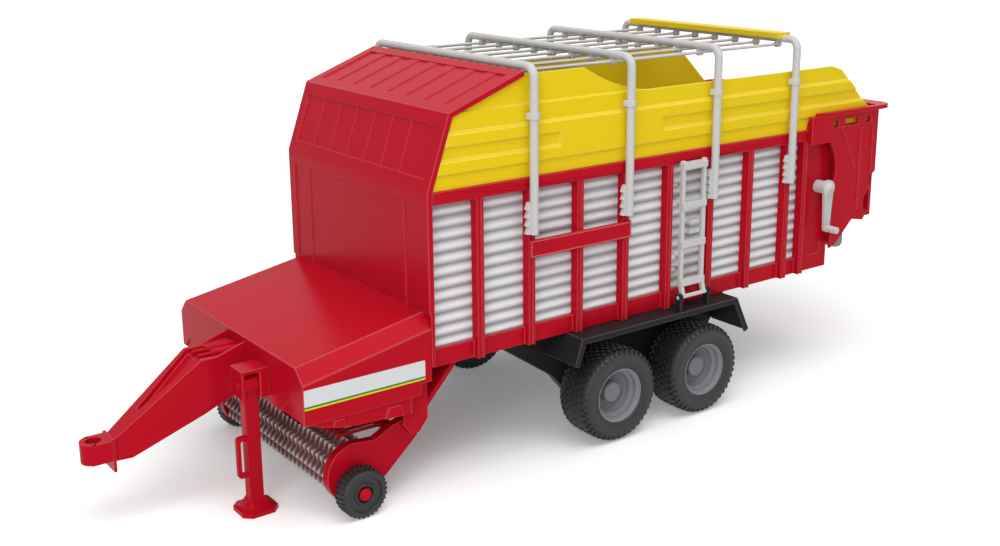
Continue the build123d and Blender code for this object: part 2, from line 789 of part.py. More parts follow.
# Parking leg and its bracket on the hood's front
pivot_x = hood_x + leg_x
bracket_half = 7.5
with BuildPart() as leg_bracket:
    with Locations((hood_x + leg_x + leg_w / 2 + 1.0, leg_y - 2.0, leg_pivot_z)):
        Box(1.6, 2 * bracket_half, 15.0)
    with Locations((hood_x + (leg_x + leg_w / 2 + 1.8) / 2, leg_y - 2.0, leg_pivot_z + 8.3)):
        Box(leg_x + leg_w / 2 + 1.8, 2 * bracket_half, 2.0)
    with Locations((hood_x + (leg_x - leg_w / 2 - 0.4) / 2, leg_y - 2.0, leg_pivot_z)):
        Box(leg_x - leg_w / 2 - 0.4, 2 * bracket_half, 15.0)
    with BuildSketch(Plane(origin=(hood_x + 1.0, leg_y, leg_pivot_z), z_dir=(1, 0, 0))):
        Circle(leg_pin_r)
    extrude(amount=leg_x + leg_w / 2 + 2.0)
save(leg_bracket, "leg_bracket")

with BuildPart() as parking_leg:
    with BuildSketch(Plane(origin=(pivot_x - leg_w / 2, leg_y, 0), x_dir=(0, 1, 0), z_dir=(1, 0, 0))):
        with Locations((0, (leg_pivot_z + foot_t) / 2)):
            Rectangle(leg_d, leg_pivot_z - foot_t)
        with Locations((0, leg_pivot_z)):
            Circle(5.0)
            Circle(leg_pin_r + run_gap, mode=Mode.SUBTRACT)
    extrude(amount=leg_w)
    with BuildSketch(Plane.XY):
        with Locations((pivot_x, leg_y)):
            foot = Rectangle(foot_len, foot_w)
        chamfer(foot.vertices(), foot_cham)
    extrude(amount=foot_t)
    with BuildSketch(Plane.XY.offset(foot_t)):
        with Locations((pivot_x, leg_y)):
            Rectangle(foot_len - 2 * foot_cham, foot_w - 2 * foot_cham)
    with BuildSketch(Plane.XY.offset(foot_t + foot_rib_h)):
        with Locations((pivot_x, leg_y)):
            Rectangle(leg_w, leg_d)
    loft()
    with BuildSketch(Plane.XZ.offset(-leg_y)):
        with Locations((pivot_x + leg_w / 2 + 1.6, 32.5)):
            RectangleRounded(7.2, 24.0, 2.2)
            RectangleRounded(2.8, 19.0, 1.2, mode=Mode.SUBTRACT)
    extrude(amount=1.3, both=True)
save(parking_leg, "parking_leg")

# Intake behind the pick-up: cheeks that carry its pivots, and a ramp up to the load floor
lift_point_x = front_x + lift_x
with BuildPart() as intake:
    for side in (1, -1):
        with BuildSketch(Plane.XZ.offset(-side * cheek_y)):
            Polygon(
                (front_x - 26.0, deck_low_z), (front_x + 12.0, deck_low_z), (front_x + 16.0, lift_z + 2.0),
                (front_x + 11.0, lift_z - 5.0), (front_x + 6.0, lift_z - 5.0), align=None,
            )
            with Locations((lift_point_x, lift_z)):
                Circle(pivot_r + run_gap, mode=Mode.SUBTRACT)
        extrude(amount=-side * cheek_t)
    with BuildSketch(Plane.XZ.offset(-cheek_y)):
        Polygon(
            (front_x - 26.0, deck_low_z), (front_x - 22.0, deck_low_z), (front_x + 2.0, 50.0),
            (front_x + 0.0, 48.0), align=None,
        )
    extrude(amount=2 * cheek_y)
save(intake, "intake")

# Pick-up frame: arms with end housings, torque tube, comb and the gauge wheels' stubs
reel_centre = (front_x + reel_x, reel_z)
gauge_centre = (front_x + gauge_x, gauge_r)
arm_in = disc_pitch * (disc_count - 1) / 2 + disc_t / 2 + 1.0
comb_count = disc_count - 1
with BuildPart() as pickup_frame:
    for side in (1, -1):
        with BuildSketch(Plane.XZ.offset(-side * arm_out)):
            with Locations(reel_centre):
                Circle(disc_r + 0.3)
            Polygon(
                (front_x + 46.4, 39.5), (front_x + 31.6, 38.5), (front_x + 21.3, 43.5), (lift_point_x, lift_z + 5.0),
                (lift_point_x - 5.0, lift_z), (front_x + 5.0, 34.0), (front_x + 25.6, 15.8),
                (front_x + 36.0, 8.0), align=None,
            )
            with Locations(reel_centre):
                Circle(2.5 + run_gap, mode=Mode.SUBTRACT)
        extrude(amount=side * (arm_out - arm_in))
        with BuildSketch(Plane.XZ.offset(-side * arm_out)):
            with Locations((lift_point_x, lift_z)):
                Circle(pivot_r)
        extrude(amount=-side * (cheek_y + cheek_t - arm_out))
        with BuildSketch(Plane.XZ.offset(-side * arm_out)):
            with Locations(gauge_centre):
                Circle(2.0)
        extrude(amount=-side * (gauge_out_y - 1.4 - arm_out))
        with BuildSketch(Plane.XZ.offset(-side * (gauge_out_y - 2.8))):
            with Locations(gauge_centre):
                Circle(3.4)
        extrude(amount=-side * 2.0)
    with Locations(Location((front_x + 17.0, 0, 38.0), (90, 0, 0))):
        Cylinder(3.0, 2 * arm_in)
    with Locations((front_x + 20.0, 0, 41.5)):
        Box(7.0, 2 * arm_in, 2.0)
    with Locations(*[(front_x + 36.0, disc_pitch * (k - (comb_count - 1) / 2), 41.6) for k in range(comb_count)]):
        Box(30.0, 1.6, 1.8)
save(pickup_frame, "pickup_frame")

# Reel: a twelve-sided core with stub shafts, and the toothed discs on it
with BuildPart() as reel_core:
    with BuildSketch(Plane.XZ.offset(-(arm_in - 0.5))):
        with Locations(reel_centre):
            RegularPolygon(core_r, teeth)
    extrude(amount=2 * (arm_in - 0.5))
    with BuildSketch(Plane.XZ.offset(-(arm_out - 1.0))):
        with Locations(reel_centre):
            Circle(2.5)
    extrude(amount=2 * (arm_out - 1.0))
save(reel_core, "reel_core")

tooth_points = []
for tooth in range(teeth):
    for radius, angle in ((disc_r, tooth * 360 / teeth), (disc_root_r, (tooth + 0.5) * 360 / teeth)):
        tooth_points.append(
            (reel_centre[0] + radius * cos(radians(angle)), reel_centre[1] + radius * sin(radians(angle)))
        )
with BuildPart() as reel_discs:
    with BuildSketch(*[Plane.XZ.offset(disc_pitch * (k - (disc_count - 1) / 2) - disc_t / 2) for k in range(disc_count)]):
        Polygon(*tooth_points, align=None)
        with Locations(reel_centre):
            RegularPolygon(core_r, teeth, mode=Mode.SUBTRACT)
    extrude(amount=disc_t)
save(reel_discs, "reel_discs")

# Gauge wheels of the pick-up
gauge_profile = [
    (2.0 + run_gap, 3.2), (4.6, 3.2), (4.6, 0.8), (6.0, 0.8), (7.0, 1.8), (10.2, 1.8), (11.2, 0.6), (13.2, 0.6),
    (gauge_r, 1.8), (gauge_r, gauge_w - 1.4), (13.2, gauge_w), (2.0 + run_gap, gauge_w),
]
with BuildPart() as gauge_wheel_left:
    with BuildSketch(
        Plane(origin=(gauge_centre[0], gauge_out_y, gauge_centre[1]), x_dir=(0, 0, 1), z_dir=(1, 0, 0))
    ):
        Polygon(*gauge_profile, align=None)
    revolve(axis=Axis((gauge_centre[0], 0, gauge_centre[1]), (0, 1, 0)))
save(gauge_wheel_left, "gauge_wheel_left")

with BuildPart() as gauge_wheel_right:
    mirror(gauge_wheel_left.part, about=Plane.XZ)
save(gauge_wheel_right, "gauge_wheel_right")

# Tailgate: two cheeks hinged at the top front, with ribs and slots, closed by back, sill and rim
gate_y = half_w + gate_gap
gate_x = rear_x - gate_depth
pad_z = gate_top_z - pad_drop
pad_x = rear_x + gate_front
slots = ((rear_x + 8.4, rear_x + 1.4), (rear_x - 5.6, rear_x - 19.6), (gate_x + 13.6, gate_x + 8.6))
rib_lines = (
    ((gate_x + 18.0, gate_top_z - 12.0), (gate_x + 18.0, gate_top_z - 70.0)),
    ((gate_x + 5.4, gate_top_z - 12.0), (gate_x + 5.4, gate_top_z - 45.1)),
    ((rear_x - 2.7, gate_top_z - 9.3), (rear_x - 19.3, gate_top_z - 41.6)),
)
gate_pin_z = gate_top_z - slot_drop
with BuildPart() as tailgate:
    for side in (1, -1):
        outer = Plane.XZ.offset(-side * (gate_y + gate_t))
        with BuildSketch(Plane.XZ.offset(-side * gate_y)):
            with BuildLine():
                Polyline(
                    (rear_x + 9.7, pad_z), (pad_x, pad_z), (pad_x, gate_top_z), (gate_x, gate_top_z),
                    (gate_x, gate_top_z - 45.1), (gate_x + 5.2, gate_top_z - 47.7),
                    (gate_x + 7.5, gate_top_z - 52.3), (gate_x + 4.9, gate_top_z - 56.1),
                    (gate_x + 11.3, gate_top_z - 63.7), (gate_x + 10.2, gate_top_z - 74.7),
                    (gate_x + 8.9, gate_top_z - 76.6), (gate_x + 10.6, gate_top_z - 79.2),
                    (gate_x + 22.7, gate_top_z - 76.9), (rear_x - 1.8, gate_top_z - 92.1),
                    (rear_x + 3.6, gate_top_z - 94.4), (rear_x + 3.1, gate_top_z - 48.0),
                )
                ThreePointArc(
                    (rear_x + 3.1, gate_top_z - 48.0), (rear_x + 2.6, gate_top_z - 32.0), (rear_x + 9.7, pad_z),
                )
            make_face()
            for start, end in slots:
                with Locations(((start + end) / 2, gate_pin_z)):
                    Rectangle(start - end, slot_h, mode=Mode.SUBTRACT)
        extrude(amount=-side * gate_t)
        with BuildSketch(outer):
            with Locations(((pad_x + slots[0][0]) / 2, (pad_z + gate_top_z) / 2)):
                Rectangle(pad_x - slots[0][0], gate_top_z - pad_z)
        extrude(amount=-side * hinge_pad)
        with BuildSketch(outer):
            for (ax, az), (bx, bz) in rib_lines:
                with BuildLine():
                    Polyline(
                        (ax - gate_rib_w / 2, az), (ax + gate_rib_w / 2, az), (bx + gate_rib_w / 2, bz),
                        (bx - gate_rib_w / 2, bz), (ax - gate_rib_w / 2, az),
                    )
                make_face()
        extrude(amount=-side * gate_rib_h)
    with Locations((gate_x + gate_t / 2, 0, gate_top_z - gate_back_h / 2)):
        Box(gate_t, 2 * gate_y, gate_back_h)
    with BuildSketch(Plane.XZ.offset(-gate_y)):
        Polygon(
            (gate_x, gate_top_z - 77.2), (gate_x, gate_top_z - 74.2), (gate_x + 23.6, gate_top_z - 74.2),
            (rear_x - 1.0, gate_top_z - 90.9), (rear_x - 1.0, gate_top_z - 92.4), (gate_x + 22.7, gate_top_z - 76.9),
            align=None,
        )
    extrude(amount=2 * gate_y)
    with BuildSketch(Plane.XY.offset(gate_top_z - 1.0)):
        with Locations((gate_x + 26.6, 0)):
            RectangleRounded(80.0, 2 * (gate_y + gate_t + rim_w), 9.0)
        with Locations((gate_x + 39.1, 0)):
            Rectangle(88.0, 2 * gate_y, mode=Mode.SUBTRACT)
    extrude(amount=3.0)
    with Locations(Plane(origin=(hinge_x, gate_y + gate_t + hinge_pad, gate_hinge_z), z_dir=(0, 1, 0))):
        Hole(hinge_pin_r + run_gap)
save(tailgate, "tailgate")

with BuildPart() as gate_strip:
    with BuildSketch(Plane.XZ.offset(-gate_y + 2.0)):
        Polygon(
            (rear_x - 4.8, gate_top_z - 89.3), (rear_x - 14.8, gate_top_z - 80.5),
            (rear_x - 14.8, gate_top_z - 94.4), (rear_x - 12.8, gate_top_z - 96.4),
            (rear_x - 7.3, gate_top_z - 96.4), (rear_x - 4.8, gate_top_z - 94.4), align=None,
        )
    extrude(amount=2 * gate_y - 4.0)
save(gate_strip, "gate_strip")

# Crank on the left side: boss, disc with a cone, tapering arm sunk within its border, and ringed handle
crank_in_y = gate_y + gate_t + hinge_pad + 0.6
boss_y = half_w - rail_step + 0.3
handle_z = crank_z - crank_arm


def crank_taper(inset):
    """Corners of the crank's arm, drawn this much smaller all round."""
    return [
        (crank_x - 4.4 + inset, crank_z - inset), (crank_x + 4.4 - inset, crank_z - inset),
        (crank_x + crank_arm_r - inset, handle_z), (crank_x - crank_arm_r + inset, handle_z),
    ]


ring_y = [crank_in_y + handle_len - 1.0 - 1.8 * ring for ring in range(handle_ring_count)]
crank_rounds = [
    (half_w - frame_t, crank_z, crank_pin_r, boss_y - half_w + frame_t),
    (boss_y, crank_z, crank_r - 1.2, crank_in_y - boss_y),
    (crank_in_y, crank_z, crank_r, crank_t), (crank_in_y, handle_z, crank_arm_r - 0.6, handle_len),
] + [(y, handle_z, crank_arm_r - 0.2, 0.9) for y in ring_y]
with BuildPart() as crank:
    with BuildSketch(Plane.XZ.offset(-crank_in_y)):
        Polygon(*crank_taper(0), align=None)
        with Locations((crank_x, handle_z)):
            Circle(crank_arm_r)
    extrude(amount=-crank_t)
    with BuildSketch(Plane.XZ.offset(-(crank_in_y + crank_t - crank_sunk))):
        Polygon(*crank_taper(crank_border), align=None)
    extrude(amount=-crank_sunk, mode=Mode.SUBTRACT)
    for y, z, radius, length in crank_rounds:
        with BuildSketch(Plane.XZ.offset(-y)):
            with Locations((crank_x, z)):
                Circle(radius)
        extrude(amount=-length)
    with BuildSketch(Plane.XZ.offset(-(crank_in_y + crank_t))):
        with Locations((crank_x, crank_z)):
            Circle(crank_r - 1.4)
    extrude(amount=-crank_cone_h, taper=45)
save(crank, "crank")

# Ladder that folds out on its feet, and the brackets that carry them on the left fender
ladder_x = back(ladder_front_back + ladder_w / 2 - ladder_rail / 2)
bend_z = ladder_foot_z + ladder_bend_h
rung_x = [ladder_x + edge * (ladder_w - ladder_rail) / 2 for edge in (1, -1)]
rail_half = ladder_rail / 2
with BuildPart() as ladder:
    with BuildSketch(*[Plane(origin=(x - rail_half, 0, 0), x_dir=(0, 1, 0), z_dir=(1, 0, 0)) for x in rung_x]):
        Polygon(
            (ladder_y - ladder_bend - rail_half, ladder_top_z), (ladder_y - ladder_bend - rail_half, bend_z),
            (ladder_y - rail_half, ladder_foot_z), (ladder_y + rail_half, ladder_foot_z),
            (ladder_y - ladder_bend + rail_half, bend_z), (ladder_y - ladder_bend + rail_half, ladder_top_z),
            align=None,
        )
    extrude(amount=ladder_rail)
    with Locations(*[
        (ladder_x, ladder_y - ladder_bend, ladder_foot_z + rung_low + rung_pitch * rung) for rung in range(rung_count)
    ]):
        Box(ladder_w, 4.4, rung_h)
    with BuildSketch(Plane(origin=(ladder_x - ladder_w / 2 - 3.0, ladder_y, ladder_foot_z), z_dir=(1, 0, 0))):
        Circle(rail_half)
    extrude(amount=ladder_w + 6.0)
save(ladder, "ladder")

with BuildPart() as ladder_brackets:
    with BuildSketch(*[
        Plane(origin=(ladder_x + edge * (ladder_w / 2 + 1.8) - 1.2, ladder_y, 0), x_dir=(0, 1, 0), z_dir=(1, 0, 0))
        for edge in (1, -1)
    ]):
        with Locations((0, (fender_z + ladder_foot_z) / 2)):
            Rectangle(5.0, ladder_foot_z - fender_z)
        with Locations((0, ladder_foot_z)):
            Circle(2.5)
            Circle(rail_half + run_gap, mode=Mode.SUBTRACT)
    extrude(amount=2.4)
save(ladder_brackets, "ladder_brackets")

# Blank sign board across three posts of each side
with BuildPart() as sign_board_left:
    with Locations((post_x[2], half_w + board_t / 2, side_top_z - board_drop)):
        Box(2 * post_pitch + post_w, board_t, board_h)
save(sign_board_left, "sign_board_left")

with BuildPart() as sign_board_right:
    mirror(sign_board_left.part, about=Plane.XZ)
save(sign_board_right, "sign_board_right")
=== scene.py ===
import json
import math

import bmesh
import bpy
from mathutils import Matrix, Vector

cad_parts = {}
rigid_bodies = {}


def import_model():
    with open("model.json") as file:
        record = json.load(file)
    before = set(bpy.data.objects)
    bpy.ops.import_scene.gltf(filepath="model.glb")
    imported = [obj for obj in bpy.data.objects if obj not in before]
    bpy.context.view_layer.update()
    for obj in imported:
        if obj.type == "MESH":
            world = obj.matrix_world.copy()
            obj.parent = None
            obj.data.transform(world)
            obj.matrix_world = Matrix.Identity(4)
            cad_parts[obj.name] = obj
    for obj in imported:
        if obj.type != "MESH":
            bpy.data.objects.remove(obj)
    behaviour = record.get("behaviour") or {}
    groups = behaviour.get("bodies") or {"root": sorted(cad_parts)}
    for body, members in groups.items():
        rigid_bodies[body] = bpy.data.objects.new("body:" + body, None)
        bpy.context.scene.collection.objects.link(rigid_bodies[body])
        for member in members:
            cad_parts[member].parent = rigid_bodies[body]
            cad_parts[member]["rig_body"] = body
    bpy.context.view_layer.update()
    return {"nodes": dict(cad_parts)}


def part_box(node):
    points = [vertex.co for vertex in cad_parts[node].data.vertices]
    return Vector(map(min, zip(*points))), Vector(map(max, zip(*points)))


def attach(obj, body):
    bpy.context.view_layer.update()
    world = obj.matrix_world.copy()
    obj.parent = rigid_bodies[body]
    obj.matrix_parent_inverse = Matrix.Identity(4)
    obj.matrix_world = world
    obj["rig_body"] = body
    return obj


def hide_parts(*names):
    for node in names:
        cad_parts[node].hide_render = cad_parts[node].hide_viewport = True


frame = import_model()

scene = bpy.context.scene
scene.view_settings.view_transform = "Standard"

# Studio
# A white table and a white room with a broad soft light overhead, as small models are shown.
# The camera stands ahead of the wagon on its left, a little above the roof.
table_reach = 6
table_mesh = bpy.data.meshes.new("table")
table_mesh.from_pydata(
    [(x * table_reach, y * table_reach, 0) for x, y in ((-1, -1), (1, -1), (1, 1), (-1, 1))],
    [], [(0, 1, 2, 3)],
)
table = bpy.data.objects.new("table", table_mesh)
scene.collection.objects.link(table)


def tree_of(holder):
    """Clears the node tree of a material or a world and returns it."""
    holder.use_nodes = True
    holder.node_tree.nodes.clear()
    return holder.node_tree


def add(tree, kind, **values):
    """One node, with its settings and the values of its sockets."""
    node = tree.nodes.new(kind)
    for key, value in values.items():
        if hasattr(node, key):
            setattr(node, key, value)
        else:
            node.inputs[key.replace("_", " ")].default_value = value
    return node


def maths(tree, operation, *inputs):
    """A Math node whose inputs are other nodes' outputs or plain numbers."""
    node = add(tree, "ShaderNodeMath", operation=operation)
    for socket, value in zip(node.inputs, inputs):
        if isinstance(value, bpy.types.NodeSocket):
            tree.links.new(value, socket)
        else:
            socket.default_value = value
    return node.outputs[0]


def background_rays(tree):
    """1 where the camera, a reflection or a refraction looks at the background."""
    path = add(tree, "ShaderNodeLightPath").outputs
    mirrored = maths(tree, "MAXIMUM", path["Is Glossy Ray"], path["Is Transmission Ray"])
    return maths(tree, "MAXIMUM", path["Is Camera Ray"], mirrored)


table_colour = (0.9, 0.9, 0.9, 1)
glow_at_wagon, glow_per_metre, glow_limit = 0.14, 0.6, 0.85
white_table = bpy.data.materials.new("white_table")
tree = tree_of(white_table)
surface = add(tree, "ShaderNodeOutputMaterial").inputs["Surface"]
paint = add(tree, "ShaderNodeBsdfDiffuse", Color=table_colour)
glow = add(tree, "ShaderNodeEmission", Color=(1, 1, 1, 1))
away = add(tree, "ShaderNodeVectorMath", operation="LENGTH")
tree.links.new(add(tree, "ShaderNodeTexCoord").outputs["Object"], away.inputs[0])
rising = maths(tree, "MULTIPLY_ADD", away.outputs["Value"], glow_per_metre, glow_at_wagon)
limited = maths(tree, "MINIMUM", rising, glow_limit)
strength = maths(tree, "MULTIPLY", background_rays(tree), limited)
tree.links.new(strength, glow.inputs["Strength"])
both = add(tree, "ShaderNodeAddShader")
tree.links.new(paint.outputs[0], both.inputs[0])
tree.links.new(glow.outputs[0], both.inputs[1])
tree.links.new(both.outputs[0], surface)
table_mesh.materials.append(white_table)

room_light = 0.3
room = bpy.data.worlds.new("room")
scene.world = room
tree = tree_of(room)
surface = add(tree, "ShaderNodeOutputWorld").inputs["Surface"]
sky = add(tree, "ShaderNodeBackground", Color=(1, 1, 1, 1))
strength = maths(tree, "MULTIPLY_ADD", background_rays(tree), 1 - room_light, room_light)
tree.links.new(strength, sky.inputs["Strength"])
tree.links.new(sky.outputs[0], surface)


def softbox(name, place, aim, width, height, watts):
    """A rectangular soft lamp that points from place to aim."""
    lamp = bpy.data.lights.new(name, "AREA")
    lamp.shape = "RECTANGLE"
    lamp.size, lamp.size_y, lamp.energy = width, height, watts
    holder = bpy.data.objects.new(name, lamp)
    holder.location = place
    holder.rotation_euler = (Vector(aim) - Vector(place)).to_track_quat("-Z", "Y").to_euler()
    scene.collection.objects.link(holder)


softbox("overhead", (0.1, 0.45, 1.6), (0, 0, 0.1), width=1.6, height=1.2, watts=19)
softbox("front_fill", (1.35, 1.2, 0.9), (0.1, 0, 0.1), width=0.9, height=0.9, watts=12)

camera_place = (0.45352, 0.61956, 0.32217)
yaw, pitch, roll = math.radians(-126.18), math.radians(14.41), math.radians(-0.48)
lens = bpy.data.cameras.new("camera")
lens.lens, lens.sensor_width, lens.shift_y = 44.73, 36.0, -0.05
lens.clip_start, lens.clip_end = 0.01, 50
level_reach = math.cos(pitch)
ahead = Vector((math.cos(yaw) * level_reach, math.sin(yaw) * level_reach, -math.sin(pitch)))
side = ahead.cross(Vector((0, 0, 1))).normalized()
above = side.cross(ahead)
turned_side = side * math.cos(roll) + above * math.sin(roll)
turned_above = above * math.cos(roll) - side * math.sin(roll)
facing = Matrix((turned_side, turned_above, -ahead)).transposed().to_4x4()
camera = bpy.data.objects.new("camera", lens)
camera.matrix_world = Matrix.Translation(camera_place) @ facing
scene.collection.objects.link(camera)
scene.camera = camera

# Chassis
# Two beams and cross pieces with a side plate for the axles on each side, moulded in black
# styrene. The mould leaves its edges slightly round and its faces finely grained.
MM = 0.001
nodes = frame["nodes"]


def mixed(tree, factor, first, second):
    """A colour between two, each a socket or a plain colour."""
    node = add(tree, "ShaderNodeMix", data_type="RGBA")
    sockets = (node.inputs[0], node.inputs[6], node.inputs[7])
    for socket, value in zip(sockets, (factor, first, second)):
        if isinstance(value, bpy.types.NodeSocket):
            tree.links.new(value, socket)
        else:
            socket.default_value = value
    return node.outputs[2]


def noise(tree, place, scale, detail=3.0, rough=0.55, warp=0.0):
    """A noise pattern on the given coordinates."""
    node = add(
        tree, "ShaderNodeTexNoise", Scale=scale, Detail=detail, Roughness=rough, Distortion=warp
    )
    tree.links.new(place, node.inputs["Vector"])
    return node.outputs["Fac"]


def bumped(tree, height, strength, depth, below=None):
    """A bump of this depth in metres, laid over another bump if one is given."""
    node = add(tree, "ShaderNodeBump", Strength=strength, Distance=depth)
    tree.links.new(height, node.inputs["Height"])
    if below is not None:
        tree.links.new(below, node.inputs["Normal"])
    return node.outputs["Normal"]


def plastic(name, colour, gloss=0.3, grain=0.3, flow=0.05, edge=0.12, metal=0.0):
    """Moulded plastic: flow marks, fine grain, slow waves, small scuffs and rubbed edges.

    The colour is a plain one, or a function that paints it by its place.
    """
    made = bpy.data.materials.new(name)
    tree = tree_of(made)
    surface = add(tree, "ShaderNodeOutputMaterial").inputs["Surface"]
    skin = add(
        tree, "ShaderNodeBsdfPrincipled", IOR=1.5, Metallic=metal, Specular_IOR_Level=0.05
    )
    place = add(tree, "ShaderNodeTexCoord").outputs["Object"]
    marks = noise(tree, place, scale=26.0, warp=0.8)
    rub = noise(tree, place, scale=230.0, detail=6.0, rough=0.72, warp=1.6)
    base = colour(tree, place) if callable(colour) else (*colour, 1)
    shade = maths(tree, "MULTIPLY_ADD", marks, 4 * flow, 0.5 - 2 * flow)
    darkest, lightest = 0.10, 0.008
    dark = mixed(tree, darkest, base, (0, 0, 0, 1))
    light = mixed(tree, lightest, base, (1, 1, 1, 1))
    tone = mixed(tree, shade, dark, light)
    on_edge = add(tree, "ShaderNodeAttribute", attribute_name="edge").outputs["Fac"]
    worn = maths(tree, "MULTIPLY", maths(tree, "MULTIPLY", on_edge, rub), 2 * edge)
    tree.links.new(mixed(tree, worn, tone, (1, 1, 1, 1)), skin.inputs["Base Color"])
    rough_least, rough_by_rub = 0.65 * gloss, 0.3 * gloss
    roughness = maths(tree, "MULTIPLY_ADD", rub, rough_by_rub, rough_least)
    tree.links.new(roughness, skin.inputs["Roughness"])
    slow = bumped(tree, noise(tree, place, scale=55.0, detail=1.0), 0.25, 0.25 * MM)
    fine = noise(tree, place, scale=3800.0, detail=2.0, rough=0.6)
    tree.links.new(bumped(tree, fine, grain, 0.04 * MM, below=slow), skin.inputs["Normal"])
    tree.links.new(skin.outputs[0], surface)
    return made


def room_at(edge):
    """How far an edge may be rounded: by the width of its faces and the edges beside it."""
    nearly_in_line = 0.9
    room = 1.0
    for face in edge.link_faces:
        room = min(room, 2 * face.calc_area() / sum(e.calc_length() for e in face.edges))
    along = (edge.verts[1].co - edge.verts[0].co).normalized()
    for vertex in edge.verts:
        for other in vertex.link_edges:
            reach = other.other_vert(vertex).co - vertex.co
            if other is edge or reach.length == 0:
                continue
            if abs(reach.normalized().dot(along)) < nearly_in_line:
                room = min(room, reach.length)
    return room


def placed(name, mesh, body, slot, *replaced):
    """Makes a finished piece of a mesh: it moves with its body and stands for its CAD nodes."""
    piece = bpy.data.objects.new(name, mesh)
    scene.collection.objects.link(piece)
    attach(piece, body)
    if replaced:
        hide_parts(*replaced)
    return piece


def plain_mesh(blank):
    """An object's final shape as a mesh of its own; the object goes."""
    mesh = bpy.data.meshes.new_from_object(
        blank.evaluated_get(bpy.context.evaluated_depsgraph_get())
    )
    bpy.data.objects.remove(blank)
    return mesh


def carved(solid, blocks):
    """The solid less the blocks, as a new mesh."""
    holder = bpy.data.objects.new("carving", solid)
    scene.collection.objects.link(holder)
    cutters = []
    for block in blocks:
        cutter = bpy.data.objects.new("cutter", block)
        scene.collection.objects.link(cutter)
        cutters.append(cutter)
        cut = holder.modifiers.new("cut", "BOOLEAN")
        cut.operation, cut.solver, cut.object = "DIFFERENCE", "EXACT", cutter
    done = plain_mesh(holder)
    for cutter in cutters:
        bpy.data.objects.remove(cutter)
    return done


def moulded(name, finish, slot, radius=0.35, steps=2, sharp=28, blocks=()):
    """Stands for a CAD node: the same solid, less the blocks, with its edges rounded.

    The radius is in millimetres. Edges that turn by more than sharp degrees are rounded in
    this many steps, and none where steps is 0.
    """
    weld, flat, smooth_below = 2e-6, math.radians(0.6), math.radians(38)
    share_of_room = 0.33
    bm = bmesh.new()
    bm.from_mesh(nodes[name].data)
    bmesh.ops.remove_doubles(bm, verts=bm.verts, dist=weld)
    bmesh.ops.dissolve_degenerate(bm, edges=bm.edges, dist=weld / 2)
    bmesh.ops.dissolve_limit(bm, angle_limit=flat, verts=bm.verts, edges=bm.edges)
    if blocks:
        whole = bpy.data.meshes.new(name + "_whole")
        bmesh.ops.triangulate(bm, faces=bm.faces[:])
        bm.to_mesh(whole)
        bm.clear()
        bm.from_mesh(carved(whole, blocks))
        bmesh.ops.remove_doubles(bm, verts=bm.verts, dist=weld)
        bmesh.ops.dissolve_limit(bm, angle_limit=flat, verts=bm.verts, edges=bm.edges)
    bmesh.ops.connect_verts_concave(bm, faces=bm.faces[:])
    weight = bm.edges.layers.float.new("bevel_weight_edge")
    for edge in bm.edges:
        if steps and edge.is_manifold and edge.calc_face_angle(0) > math.radians(sharp):
            edge[weight] = min(1.0, share_of_room * room_at(edge) / (radius * MM))
    rough = bpy.data.meshes.new(name + "_cast")
    bm.to_mesh(rough)
    bm.free()
    rough.materials.append(finish)
    rough.materials.append(finish)
    cast = bpy.data.objects.new(name + "_cast", rough)
    scene.collection.objects.link(cast)
    rounding = cast.modifiers.new("rounding", "BEVEL")
    rounding.limit_method, rounding.width = "WEIGHT", radius * MM
    rounding.segments = max(steps, 1)
    rounding.use_clamp_overlap = False
    rounding.material = 1
    mesh = plain_mesh(cast)
    on_edge = mesh.attributes.new("edge", "FLOAT", "CORNER")
    for face in mesh.polygons:
        for corner in face.loop_indices:
            on_edge.data[corner].value = float(face.material_index)
        face.material_index = 0
    mesh.materials.pop(index=1)
    mesh.shade_smooth()
    mesh.set_sharp_from_angle(angle=smooth_below)
    piece = placed(name + "_piece", mesh, nodes[name]["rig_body"], slot, name)
    even = piece.modifiers.new("even_normals", "WEIGHTED_NORMAL")
    even.keep_sharp = True


black = plastic("black_styrene", (0.018, 0.018, 0.02), gloss=0.36, grain=0.5, edge=0.05)
for name in ("chassis", "bogie_left", "bogie_right"):
    moulded(name, black, "black")

# Axles and rims
# Plain drawn steel rods carry the wheels. The deep-dished rims are moulded in mid-grey plastic
# and pressed on to them, each with a rounded lip, a stepped dish and a hub in the middle.
steel = plastic("drawn_steel", (0.5, 0.5, 0.5), grain=0.4, edge=0.1, metal=1.0)
for name in ("axle_front", "axle_rear"):
    moulded(name, steel, "steel", radius=0.3)

rim_grey = plastic("grey_rims", (0.22, 0.23, 0.25), gloss=0.34, grain=0.5, edge=0.25)
wheel_places = [f"{end}_{hand}" for end in ("front", "rear") for hand in ("left", "right")]
for place in wheel_places:
    moulded("rim_" + place, rim_grey, "rim", steps=3, sharp=20)

